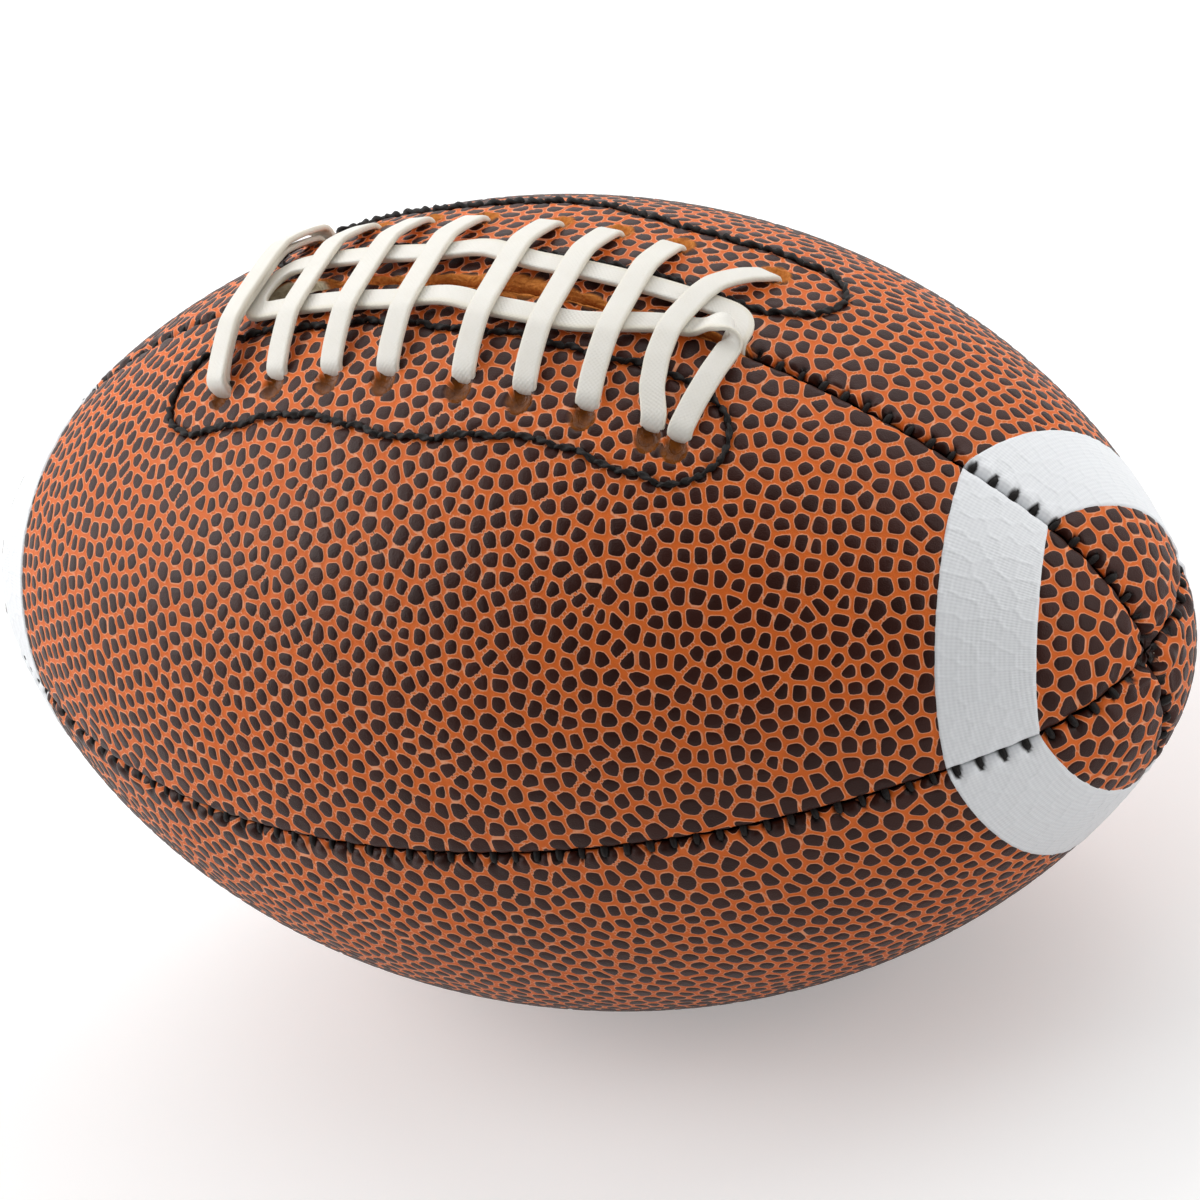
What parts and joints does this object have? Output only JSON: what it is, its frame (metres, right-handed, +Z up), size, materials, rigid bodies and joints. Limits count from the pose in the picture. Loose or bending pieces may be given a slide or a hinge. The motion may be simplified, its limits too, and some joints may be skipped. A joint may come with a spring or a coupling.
{
  "type": "american football",
  "caption": "Mini American football: stitched pebbled cover panels with linings, white end stripes, a flat lace over its opening, and a bladder with a needle valve inside",
  "frame": {"origin": "on the floor under the middle of the ball, which lies on its bottom seam", "axes": "+X along the ball's long axis, +Z up through the laces, +Y to the side away from the picture's camera"},
  "size_m": [0.22, 0.1304, 0.1339],
  "materials": {
    "cover": "pebbled synthetic leather, dark grain on an orange-brown ground, satin",
    "lining": "laminated cotton cloth",
    "stripe_film": "white film with a faint emboss",
    "seam_thread": "black waxed thread",
    "lace": "off-white coated flat lace",
    "patch_cloth": "grey backing cloth",
    "patch_thread": "black twisted thread",
    "guard_cloth": "pale coated cloth",
    "bladder": "black butyl rubber",
    "valve_seat": "moulded black rubber",
    "valve_rubber": "moulded black rubber"
  },
  "bodies": {
    "root": {"panel_front_upper": "cover", "panel_front_lower": "cover", "panel_rear_lower": "cover", "panel_rear_upper": "cover", "lining_front_upper": "lining", "lining_front_lower": "lining", "lining_rear_lower": "lining", "lining_rear_upper": "lining", "stripe_right_front_upper": "stripe_film", "stripe_right_front_lower": "stripe_film", "stripe_right_rear_lower": "stripe_film", "stripe_right_rear_upper": "stripe_film", "stripe_left_front_upper": "stripe_film", "stripe_left_front_lower": "stripe_film", "stripe_left_rear_lower": "stripe_film", "stripe_left_rear_upper": "stripe_film", "seam_thread_top": "seam_thread", "seam_thread_front": "seam_thread", "seam_thread_bottom": "seam_thread", "seam_thread_rear": "seam_thread", "lace": "lace", "patch_front": "patch_cloth", "patch_rear": "patch_cloth", "patch_thread_front": "patch_thread", "patch_thread_rear": "patch_thread", "lace_guard": "guard_cloth", "bladder": "bladder", "valve_seat": "valve_seat", "valve_plug": "valve_rubber"}
  },
  "joints": []
}
